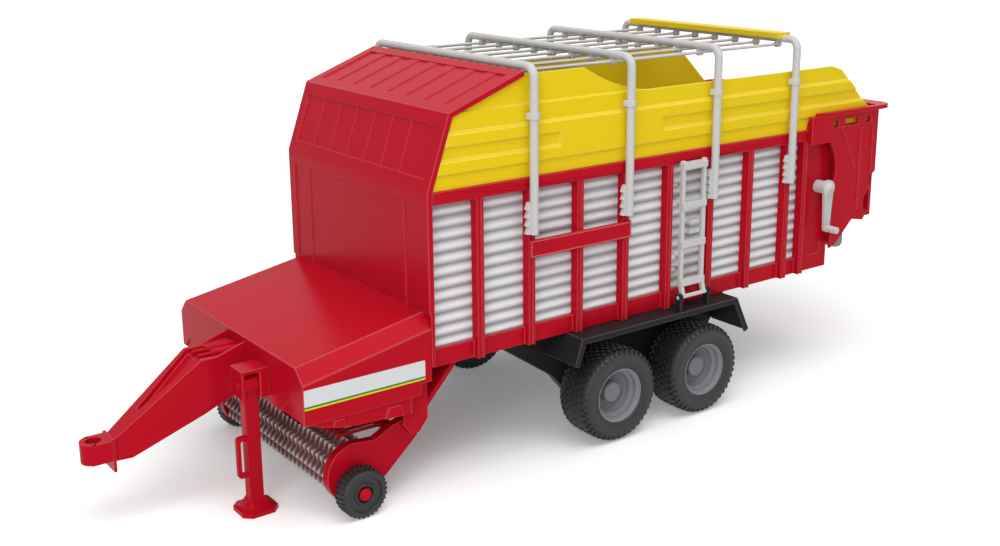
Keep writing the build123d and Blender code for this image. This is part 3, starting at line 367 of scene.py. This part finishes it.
# Tyres
# Hollow tyres of soft matt black plastic, stretched on the rims. Rows of small lozenge blocks
# run round the tread, oblong blocks lap over the shoulders, and fine ribs stand on the walls.
plain, ribbed = 0, 0.5
tyre_width = 26.4
tyre_outer_half = [  # radius, depth behind the outer face, plain or ribbed
    (17.2, 1.8, plain), (17.9, 0.9, plain), (18.9, 0.5, plain), (19.4, 0.8, plain),
    (20.4, 0.35, ribbed), (23.8, 0.05, ribbed), (25.4, 0.3, ribbed), (26.7, 1.05, plain),
    (27.8, 2.3, plain), (28.5, 4.0, plain), (28.75, 6.4, plain),
]
tyre_inner_half = [(r, tyre_width - depth, rib) for r, depth, rib in reversed(tyre_outer_half)]
tyre_tread_rows = [(0.0, 28.55, 0, 0.0, 0, 3.5, 4.2)]
for off, radius, lean, phase, twist, length, width in (
    (3.1, 28.55, 0, 0.5, 0, 3.5, 4.2), (6.2, 28.5, 0, 0.0, 0, 3.5, 4.2),
    (9.3, 28.2, -10, 0.5, 45, 3.3, 4.0), (11.5, 27.0, -46, 0.0, 45, 3.1, 3.4),
):
    for way in (1, -1):
        row = (way * off, radius, way * lean, phase, twist, length, width)
        tyre_tread_rows.append(row)
tyre_blocks, tyre_block_height = 42, 1.1


def soft_black(name, rib_count=150):
    """Matt soft plastic, with ribs on a turned side wall and a little pale dust in its grain."""
    made = bpy.data.materials.new(name)
    tree = tree_of(made)
    surface = add(tree, "ShaderNodeOutputMaterial").inputs["Surface"]
    skin = add(tree, "ShaderNodeBsdfPrincipled", IOR=1.5)
    place = add(tree, "ShaderNodeTexCoord").outputs["Object"]
    dust = noise(tree, place, scale=160.0, detail=6.0, rough=0.7, warp=1.0)
    speck = noise(tree, place, scale=1500.0, detail=4.0, rough=0.7)
    clean, dusty = (0.007, 0.007, 0.008, 1), (0.032, 0.031, 0.031, 1)
    tone = mixed(tree, maths(tree, "MULTIPLY", dust, speck), clean, dusty)
    tree.links.new(tone, skin.inputs["Base Color"])
    rough_least, rough_by_dust = 0.38, 0.3
    roughness = maths(tree, "MULTIPLY_ADD", dust, rough_by_dust, rough_least)
    tree.links.new(roughness, skin.inputs["Roughness"])
    around = add(tree, "ShaderNodeUVMap", uv_map="turn")
    split = add(tree, "ShaderNodeSeparateXYZ")
    tree.links.new(around.outputs[0], split.inputs[0])
    turn = maths(tree, "MULTIPLY", split.outputs["X"], 2 * math.pi * rib_count)
    on_wall = maths(tree, "COMPARE", split.outputs["Y"], ribbed, 0.06)
    ribs = maths(tree, "MULTIPLY", maths(tree, "SINE", turn), on_wall)
    wall = bumped(tree, ribs, 0.5, 0.1 * MM)
    tree.links.new(bumped(tree, speck, 0.6, 0.06 * MM, below=wall), skin.inputs["Normal"])
    tree.links.new(skin.outputs[0], surface)
    return made


def turned(name, profile, node, turns):
    """Turned body of a wheel in place of the node, from (radius, depth, rib), and its middle."""
    low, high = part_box(node)
    middle = (low + high) / 2
    out_way = math.copysign(1, middle.y)
    face_y = max(abs(low.y), abs(high.y))
    bm = bmesh.new()
    uv = bm.loops.layers.uv.new("turn")
    rings = []
    for turn in range(turns):
        angle = 2 * math.pi * turn / turns
        ring = []
        for r, depth, rib in profile:
            x = middle.x + r * MM * math.sin(angle)
            z = middle.z + r * MM * math.cos(angle)
            ring.append(bm.verts.new((x, out_way * (face_y - depth * MM), z)))
        rings.append(ring)
    for turn in range(turns):
        here, there = rings[turn], rings[(turn + 1) % turns]
        for k in range(len(profile)):
            n = (k + 1) % len(profile)
            face = bm.faces.new((here[k], here[n], there[n], there[k]))
            face.smooth = True
            corners = ((turn, k), (turn, n), (turn + 1, n), (turn + 1, k))
            for corner, (u, point) in zip(face.loops, corners):
                corner[uv].uv = (u / turns, profile[point][2])
    bmesh.ops.recalc_face_normals(bm, faces=bm.faces)
    mesh = bpy.data.meshes.new(name)
    bm.to_mesh(mesh)
    bm.free()
    mesh.set_sharp_from_angle(angle=math.radians(50))
    return mesh, middle


def tread_tree(name, rows):
    """Blocks round a wheel, in rows of (off middle, radius, lean, phase, twist, length, width)."""
    tree = bpy.data.node_groups.new(name, "GeometryNodeTree")
    link = tree.links.new
    sockets = {}
    for label, kind in (
        ("Body", "Geometry"), ("Blocks in a turn", "Int"), ("Block height", "Float"),
        ("Middle", "Vector"), ("Finish", "Material"),
    ):
        sockets[label] = tree.interface.new_socket(
            label, in_out="INPUT", socket_type="NodeSocket" + kind
        )
    tree.interface.new_socket("Wheel", in_out="OUTPUT", socket_type="NodeSocketGeometry")
    given = add(tree, "NodeGroupInput").outputs
    index = add(tree, "GeometryNodeInputIndex").outputs[0]
    step = maths(tree, "DIVIDE", 2 * math.pi, given["Blocks in a turn"])
    blocks = add(tree, "GeometryNodeJoinGeometry")
    for off, radius, lean, phase, twist, length, width in rows:
        angle = maths(tree, "MULTIPLY", maths(tree, "ADD", index, phase), step)
        spot = add(tree, "ShaderNodeCombineXYZ", Y=off * MM)
        for axis, circle in (("X", "SINE"), ("Z", "COSINE")):
            across = maths(tree, "MULTIPLY", maths(tree, circle, angle), radius * MM)
            link(across, spot.inputs[axis])
        points = add(tree, "GeometryNodePoints")
        link(given["Blocks in a turn"], points.inputs["Count"])
        link(spot.outputs[0], points.inputs["Position"])
        block = add(
            tree, "GeometryNodeMeshCone", Vertices=4, Radius_Top=0.38, Radius_Bottom=0.5, Depth=1.0
        )
        twisted = add(tree, "GeometryNodeTransform", Rotation=(0, 0, math.radians(twist)))
        sized = add(tree, "GeometryNodeTransform")
        size = add(tree, "ShaderNodeCombineXYZ", X=length * MM, Y=width * MM)
        link(given["Block height"], size.inputs["Z"])
        link(size.outputs[0], sized.inputs["Scale"])
        turn = add(tree, "ShaderNodeCombineXYZ", X=math.radians(lean))
        link(angle, turn.inputs["Y"])
        row = add(tree, "GeometryNodeInstanceOnPoints")
        link(block.outputs["Mesh"], twisted.inputs["Geometry"])
        link(twisted.outputs[0], sized.inputs["Geometry"])
        link(points.outputs[0], row.inputs["Points"])
        link(sized.outputs[0], row.inputs["Instance"])
        link(turn.outputs[0], row.inputs["Rotation"])
        link(row.outputs[0], blocks.inputs[0])
    real = add(tree, "GeometryNodeRealizeInstances")
    flat = add(tree, "GeometryNodeSetShadeSmooth", Shade_Smooth=False)
    moved = add(tree, "GeometryNodeTransform")
    whole = add(tree, "GeometryNodeJoinGeometry")
    dressed = add(tree, "GeometryNodeSetMaterial")
    link(blocks.outputs[0], real.inputs[0])
    link(real.outputs[0], flat.inputs["Geometry"])
    link(flat.outputs[0], moved.inputs["Geometry"])
    link(given["Middle"], moved.inputs["Translation"])
    link(moved.outputs[0], whole.inputs[0])
    link(given["Body"], whole.inputs[0])
    link(whole.outputs[0], dressed.inputs["Geometry"])
    link(given["Finish"], dressed.inputs["Material"])
    link(dressed.outputs[0], add(tree, "NodeGroupOutput").inputs[0])
    return tree, {label: socket.identifier for label, socket in sockets.items()}


def treaded(node, profile, turns, tread, blocks, height):
    """The turned body of a wheel with its blocks as one plain mesh, and its middle."""
    body, middle = turned(node + "_body", profile, node, turns)
    blank = bpy.data.objects.new(node + "_blank", body)
    scene.collection.objects.link(blank)
    dressing = blank.modifiers.new("tread", "NODES")
    dressing.node_group, sockets = tread
    dressing[sockets["Blocks in a turn"]] = blocks
    dressing[sockets["Block height"]] = height * MM
    dressing[sockets["Middle"]] = tuple(middle)
    dressing[sockets["Finish"]] = tyre_black
    return plain_mesh(blank), middle


tyre_black = soft_black("black_tyres")
tyre_profile = tyre_outer_half + tyre_inner_half
tyre_tread = tread_tree("tyre_tread", tyre_tread_rows)
for place in wheel_places:
    node = "tyre_" + place
    mesh, middle = treaded(node, tyre_profile, 72, tyre_tread, tyre_blocks, tyre_block_height)
    placed(node + "_piece", mesh, nodes[node]["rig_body"], "tyre", node)

# Fenders
# One black moulding over both wheels of a side, with sloping ends and a turned-down outer lip.
# It is clipped to the chassis plate under the body.
for name in ("fender_left", "fender_right"):
    moulded(name, black, "black", radius=0.4)

# Load floor and scraper
# A flat grey moulding with two chain runs and cross bars on it. Its grain is coarser than the
# outer parts', and it is held by the low rails of the sides.
floor_grey = plastic("grey_floor", (0.30, 0.31, 0.32), gloss=0.5, grain=0.7, edge=0.1)
for name in ("load_floor", "scraper"):
    moulded(name, floor_grey, "grey", radius=0.25)

# Front wall
# One red moulding of three flat facets, glossy outside, with raised borders and ribs. The side
# frames are plugged into its rear edges.
red = plastic("red_body", (0.515, 0.0, 0.012), grain=0.25, edge=0.05)
moulded("front_wall", red, "red", radius=0.5, steps=3)

# Side frames
# Glossy red mouldings: a top rail, deep posts and a low rail set further in. A groove runs down
# each post, and the mould has rounded every edge.
for name in ("side_frame_left", "side_frame_right"):
    moulded(name, red, "red")

# Corrugated sheets and door
# Silver-white sheets of fine waves, let in behind the posts. The door leaf behind the ladder is
# a separate moulding with small knuckles and a handle.
wave_count, sheet_border = 12, 3 * MM
sheet_low, sheet_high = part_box("side_sheets_left")
first_wave_z = sheet_low.z + sheet_border
wave_pitch = (sheet_high.z - sheet_low.z - 2 * sheet_border) / wave_count
# The sheets and the door get painted shade in their grooves and a painted highlight on their
# crests.
painted_groove_shade, painted_crest_highlight = (0.34, 0.34, 0.36, 1), (0.88, 0.89, 0.90, 1)


def painted_wave_shading(tree, place):
    """Painted shade in the grooves and a painted highlight on the crests, at the pitch of the
    waves.
    """
    split = add(tree, "ShaderNodeSeparateXYZ")
    tree.links.new(place, split.inputs[0])
    cycle = 2 * math.pi / wave_pitch
    turn = maths(tree, "MULTIPLY_ADD", split.outputs["Z"], cycle, -cycle * first_wave_z)
    crest = maths(tree, "MULTIPLY_ADD", maths(tree, "SINE", turn), 0.5, 0.5)
    broad_crest = maths(tree, "POWER", crest, 0.6)
    return mixed(tree, broad_crest, painted_groove_shade, painted_crest_highlight)


# The sheets' colour carries the painted shade in the grooves and the painted highlight on the
# crests.
silver = plastic("silver_sheets", painted_wave_shading, grain=0.4, flow=0.04, edge=0.1)
for name in ("side_sheets_left", "side_sheets_right"):
    moulded(name, silver, "silver", radius=0.15, sharp=40)
moulded("side_door", silver, "silver", radius=0.25, sharp=40)

# Yellow upper walls
# Satin yellow mouldings shaped as lapped boards, with a plain field at mid length. They stand on
# the top rails and their front ends are cut to the front wall's facets.
yellow = plastic("yellow_walls", (0.88, 0.64, 0.008), gloss=0.4, grain=0.4, edge=0.1)
for name in ("upper_wall_left", "upper_wall_right"):
    moulded(name, yellow, "yellow", radius=0.3)

# Roof bows, rods and cap
# Off-white bent tubes with collars and toothed latches clip to the posts. Thin rods of the same
# plastic run through their lugs, and a yellow strip is snapped over the rear bow.
white = plastic("white_roof", (0.62, 0.62, 0.61), gloss=0.34, grain=0.4, flow=0.04, edge=0.1)
for number in range(1, 5):
    moulded(f"roof_bow_{number}", white, "white", radius=0.2, sharp=35)
moulded("roof_rods", white, "white", radius=0.15)
moulded("roof_cap", yellow, "yellow", radius=0.4)

# Hood and intake
# A red hood with chamfered sides over the pick-up. A sunk band with pads runs along its low edge,
# and half-moons are sunk in its nose. The intake's cheeks end behind it, and a blank white label
# with two stripes is stuck on its left side.
hood_low, hood_high = (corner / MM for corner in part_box("hood"))
hood_rear, hood_nose, hood_side = hood_low.x, hood_high.x, hood_high.y
cut_past = 2
band_top, band_foot, band_depth = 61.0, 44.0, 1.2
band_rear, band_front = 13.4, 84.0
pads = [  # front foot, front top, rear top, rear foot, height of its top
    (66.9, 60.7, 55.9, 50.5, 60.2), (34.5, 27.7, 20.8, 15.0, 58.8),
]
moon_y, moon_z, moon_r, moon_depth, moon_points = 64.0, 57.0, 11.5, 0.9, 48
cheek_in, cheek_out, cheek_reach = 71.35, 76.0, 30
cheek_low, cheek_top = 40.0, 77.0


def prism(axis, outline, start, end):
    """A closed block: an outline in millimetres, carried along X or Y from start to end."""
    bm = bmesh.new()
    rings = []
    for level in (start, end):
        corners = [(level, a, b) if axis == "X" else (a, level, b) for a, b in outline]
        rings.append([bm.verts.new(Vector(corner) * MM) for corner in corners])
        bm.faces.new(rings[-1])
    for k in range(len(outline)):
        n = (k + 1) % len(outline)
        bm.faces.new((rings[0][k], rings[0][n], rings[1][n], rings[1][k]))
    bmesh.ops.recalc_face_normals(bm, faces=bm.faces)
    mesh = bpy.data.meshes.new("block")
    bm.to_mesh(mesh)
    bm.free()
    return mesh


band = [(hood_rear + band_rear, band_top), (hood_rear + band_front, band_top)]
band.append((hood_rear + band_front, band_foot))
for front_foot, front_top, rear_top, rear_foot, height in pads:
    band += [
        (hood_rear + front_foot, band_foot), (hood_rear + front_top, height),
        (hood_rear + rear_top, height), (hood_rear + rear_foot, band_foot),
    ]
band.append((hood_rear + band_rear, band_foot))
carving = []
for way in (1, -1):
    carving.append(prism("Y", band, way * (hood_side - band_depth), way * (hood_side + cut_past)))
    moon = []
    for k in range(moon_points):
        angle = 2 * math.pi * k / moon_points
        moon.append((way * moon_y + moon_r * math.cos(angle), moon_z + moon_r * math.sin(angle)))
    carving.append(prism("X", moon, hood_nose - moon_depth, hood_nose + cut_past))
moulded("hood", red, "red", radius=0.6, steps=3, blocks=carving)

behind = [
    (hood_rear - cheek_reach, cheek_low), (hood_rear, cheek_low),
    (hood_rear, cheek_top), (hood_rear - cheek_reach, cheek_top),
]
carving = [prism("Y", behind, way * cheek_in, way * cheek_out) for way in (1, -1)]
moulded("intake", red, "red", radius=0.3, blocks=carving)


def plate(name, low, high, round_by, finish, body, slot):
    """A thin plate with rounded corners on a side wall, between two corners in millimetres."""
    (x0, y0, z0), (x1, y1, z1) = low, high
    corner_points = 6
    outline = []
    for x, z, start in (
        (x1 - round_by, z1 - round_by, 0), (x0 + round_by, z1 - round_by, 90),
        (x0 + round_by, z0 + round_by, 180), (x1 - round_by, z0 + round_by, 270),
    ):
        for k in range(corner_points):
            angle = math.radians(start + 90 * k / (corner_points - 1))
            outline.append((x + round_by * math.cos(angle), z + round_by * math.sin(angle)))
    mesh = prism("Y", outline, y0, y1)
    mesh.name = name
    mesh.materials.append(finish)
    placed(name, mesh, body, slot)


def banded(heights, colours):
    """Colours in level bands: the first below the lowest of the heights in millimetres."""
    def paint(tree, place):
        split = add(tree, "ShaderNodeSeparateXYZ")
        tree.links.new(place, split.inputs[0])
        colour = (*colours[0], 1)
        for height, above_it in zip(heights, colours[1:]):
            over = maths(tree, "GREATER_THAN", split.outputs["Z"], height * MM)
            colour = mixed(tree, over, colour, (*above_it, 1))
        return colour
    return paint


label_rear, label_front, label_low, label_high = 110.0, 184.0, 69.9, 81.0
label_sunk, label_proud = 0.1, 0.15
yellow_stripe_top, green_stripe_top = label_low + 0.95, label_low + 2.0
stripe_yellow, stripe_green = (0.75, 0.68, 0.03), (0.05, 0.25, 0.03)
label_white = (0.74, 0.76, 0.77)
striped = banded((yellow_stripe_top, green_stripe_top), (stripe_yellow, stripe_green, label_white))
label_print = plastic("label_print", striped, grain=0.2, flow=0.02, edge=0)
plate(
    "hood_label", (label_rear, hood_side - label_sunk, label_low),
    (label_front, hood_side + label_proud, label_high), 0.6, label_print,
    nodes["hood"]["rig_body"], "white",
)

# Drawbar and parking leg
# The red drawbar is one box moulding with a sunk top, where its two cylinders lie. The leg swings
# on a pin in its bracket, stands on a stepped foot, and has a bowed handle.
for name in ("drawbar", "leg_bracket"):
    moulded(name, red, "red", radius=0.4)
moulded("parking_leg", red, "red", steps=0)
moulded("drawbar_cylinders", red, "red", radius=0.25)

# Pick-up
# A red frame with a red core between its end housings. White toothed discs are threaded on the
# core, and two small black wheels on stubs run beside it, each with a red cap.
moulded("pickup_frame", red, "red")
moulded("reel_core", red, "red", radius=0.2)
reel_low, reel_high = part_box("reel_discs")
reel_middle = (reel_low + reel_high) / 2
# The disc flanks get painted shade with a painted red reflection of the core towards the middle;
# only the teeth keep plain white.
shade_reach, shade_fade = 15 * MM, 600.0
painted_flank_shade, white_tooth = (0.26, 0.12, 0.12, 1), (0.72, 0.70, 0.69, 1)


def painted_flank_shading(tree, place):
    """White teeth, and flanks with painted shade and a painted red reflection of the core towards
    the middle of the reel.
    """
    off = add(tree, "ShaderNodeVectorMath", operation="SUBTRACT")
    tree.links.new(place, off.inputs[0])
    off.inputs[1].default_value = reel_middle
    level = add(tree, "ShaderNodeVectorMath", operation="MULTIPLY")
    tree.links.new(off.outputs[0], level.inputs[0])
    level.inputs[1].default_value = (1, 0, 1)
    radius = add(tree, "ShaderNodeVectorMath", operation="LENGTH")
    tree.links.new(level.outputs[0], radius.inputs[0])
    outward = maths(
        tree, "MULTIPLY_ADD", radius.outputs["Value"], shade_fade, -shade_reach * shade_fade
    )
    on_tooth = maths(tree, "MINIMUM", maths(tree, "MAXIMUM", outward, 0.0), 1.0)
    return mixed(tree, on_tooth, painted_flank_shade, white_tooth)


reel_white = plastic("reel_white", painted_flank_shading, gloss=0.34, flow=0.04, edge=0.1)
moulded("reel_discs", reel_white, "white", radius=0.2)

gauge_profile = [  # radius, depth behind the outer face, plain or ribbed
    (2.08, 3.2, plain), (4.6, 3.2, plain), (4.75, 1.1, plain), (5.2, 0.7, plain),
    (6.2, 0.7, plain), (6.6, 1.5, plain), (9.9, 1.5, plain), (10.3, 0.6, plain),
    (11.9, 0.3, plain), (12.9, 0.7, plain), (13.3, 1.5, plain), (13.3, 10.3, plain),
    (12.9, 11.1, plain), (11.5, 11.8, plain), (2.08, 11.8, plain),
]
gauge_tread = tread_tree("gauge_tread", [
    (-2.9, 13.1, 0, 0.0, 45, 1.3, 5.6), (2.9, 13.1, 0, 0.5, 45, 1.3, 5.6),
])
gauge_blocks, gauge_block_height = 30, 0.9
stub_end, cap_r, cap_flatness, cap_sunk = 82.2, 2.7, 0.24, 0.1
for hand, way in (("left", 1), ("right", -1)):
    node = "gauge_wheel_" + hand
    mesh, middle = treaded(
        node, gauge_profile, 60, gauge_tread, gauge_blocks, gauge_block_height
    )
    placed(node + "_piece", mesh, nodes[node]["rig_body"], "black", node)
    cap = bmesh.new()
    bmesh.ops.create_uvsphere(cap, u_segments=24, v_segments=12, radius=cap_r * MM)
    for vertex in cap.verts:
        vertex.co.y *= cap_flatness
        vertex.co += Vector((middle.x, way * (stub_end - cap_sunk) * MM, middle.z))
    mesh = bpy.data.meshes.new("gauge_cap_" + hand)
    cap.to_mesh(mesh)
    cap.free()
    mesh.shade_smooth()
    mesh.materials.append(red)
    placed("gauge_cap_" + hand, mesh, nodes["pickup_frame"]["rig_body"], "red")

# Tailgate
# A red moulding of two ribbed cheeks with slots, a back and a lip round the top, hung on pins at
# its top front corners. A ledge joins lip and back, and a light grey strip closes its lower edge.
moulded("tailgate", red, "red")
gate_low, gate_high = (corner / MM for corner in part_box("tailgate"))
ledge_rear, ledge_inset = gate_low.x + 8.3, 4.0
ledge_front = ledge_rear + 5.3
ledge_foot, ledge_top = gate_high.z - 2.95, gate_high.z - 0.05
ledge = prism(
    "Y",
    [
        (ledge_rear, ledge_foot), (ledge_front, ledge_foot),
        (ledge_front, ledge_top), (ledge_rear, ledge_top),
    ],
    gate_low.y + ledge_inset, gate_high.y - ledge_inset,
)
ledge.materials.append(red)
placed("tailgate_ledge", ledge, nodes["tailgate"]["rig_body"], "red")
moulded("gate_strip", floor_grey, "grey", radius=0.3)

# Crank and ladder
# Off-white mouldings: the hand crank turns in the left side plate, and the ladder folds out on its
# feet, which snap into black brackets on the fender.
moulded("crank", white, "white", radius=0.3, steps=3)
moulded("ladder", white, "white", radius=0.3)
moulded("ladder_brackets", black, "black", radius=0.3)

# Sign boards
# A flat red board is moulded across three posts of each side. The left one carries a blank
# printed label with a thin paler line round it.
board_low, board_high = (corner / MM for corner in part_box("sign_board_left"))
line_inset, half_line = 0.9, 0.22
board_red, line_red = (0.50, 0.0, 0.012), (0.72, 0.16, 0.16)
board_label_inset, board_label_sunk, board_label_proud = 0.4, 0.1, 0.12


def lined(tree, place):
    """Board red with a thin paler line round it, a little in from the board's edge."""
    split = add(tree, "ShaderNodeSeparateXYZ")
    tree.links.new(place, split.inputs[0])
    nearest = 1.0
    for axis, low, high in (
        ("X", board_low.x, board_high.x), ("Z", board_low.z, board_high.z),
    ):
        centre, half = (low + high) / 2 * MM, (high - low) / 2 * MM
        off = maths(tree, "ABSOLUTE", maths(tree, "SUBTRACT", split.outputs[axis], centre))
        nearest = maths(tree, "MINIMUM", nearest, maths(tree, "SUBTRACT", half, off))
    on_line = maths(tree, "COMPARE", nearest, line_inset * MM, half_line * MM)
    return mixed(tree, on_line, (*board_red, 1), (*line_red, 1))


board_print = plastic("board_print", lined, gloss=0.34, grain=0.2, flow=0.03, edge=0)
for name in ("sign_board_left", "sign_board_right"):
    moulded(name, red, "red", radius=0.3)
plate(
    "board_label",
    (board_low.x + board_label_inset, board_high.y - board_label_sunk,
     board_low.z + board_label_inset),
    (board_high.x - board_label_inset, board_high.y + board_label_proud,
     board_high.z - board_label_inset),
    0.5, board_print, nodes["sign_board_left"]["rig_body"], "red",
)
